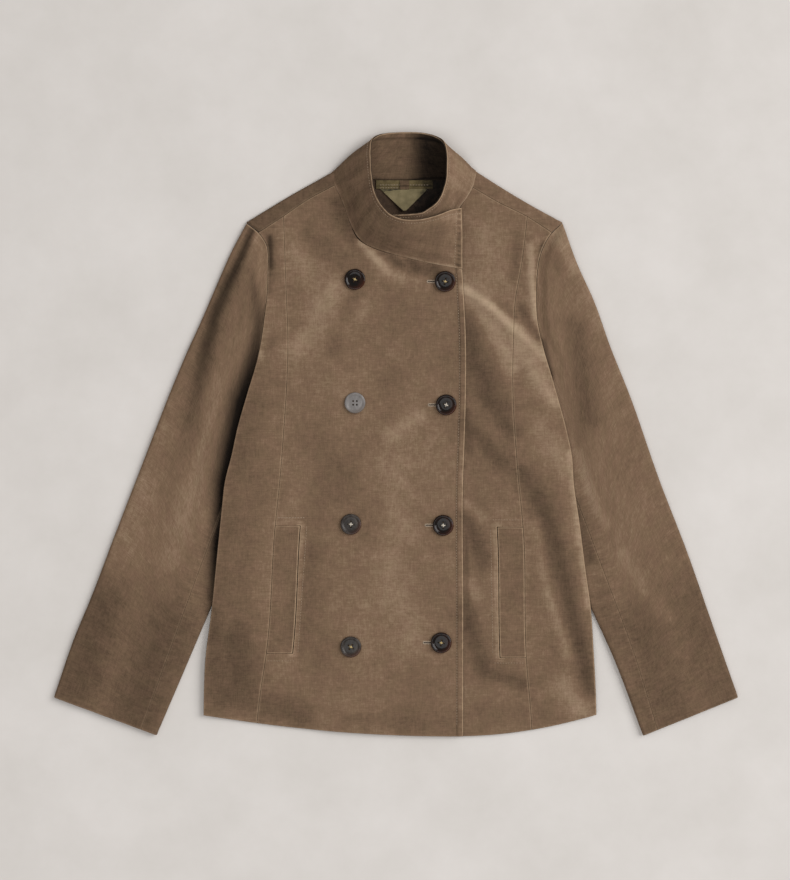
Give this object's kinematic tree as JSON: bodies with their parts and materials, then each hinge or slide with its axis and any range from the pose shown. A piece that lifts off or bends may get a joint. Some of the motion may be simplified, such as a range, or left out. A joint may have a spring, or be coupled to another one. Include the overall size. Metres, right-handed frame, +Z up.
{
  "type": "velvet jacket",
  "caption": "Double-breasted velvet jacket with a stand collar, princess seams, welt pockets and two-piece sleeves, laid flat with its front up.",
  "frame": {"origin": "middle of the garment's bounding box, on the surface that it lies on", "axes": "+X towards the wearer's left sleeve, +Y towards the collar, +Z up from the surface"},
  "size_m": [0.8196, 0.7231, 0.0425],
  "materials": {
    "velvet": "taupe cotton velvet",
    "tape": "olive twill tape",
    "label": "blank olive satin",
    "horn_button": "polished dark horn"
  },
  "bodies": {
    "root": {"back": "velvet", "front_right": "velvet", "side_front_right": "velvet", "front_left": "velvet", "side_front_left": "velvet", "sleeve_right_upper": "velvet", "sleeve_right_under": "velvet", "sleeve_left_upper": "velvet", "sleeve_left_under": "velvet", "collar": "velvet", "hanger_tab": "velvet", "pocket_welt_right": "velvet", "pocket_welt_left": "velvet", "neck_tape": "tape", "label": "label", "button_right_1": "horn_button", "button_right_2": "horn_button", "button_right_3": "horn_button", "button_right_4": "horn_button", "button_left_1": "horn_button", "button_left_2": "horn_button", "button_left_3": "horn_button", "button_left_4": "horn_button"}
  },
  "joints": []
}
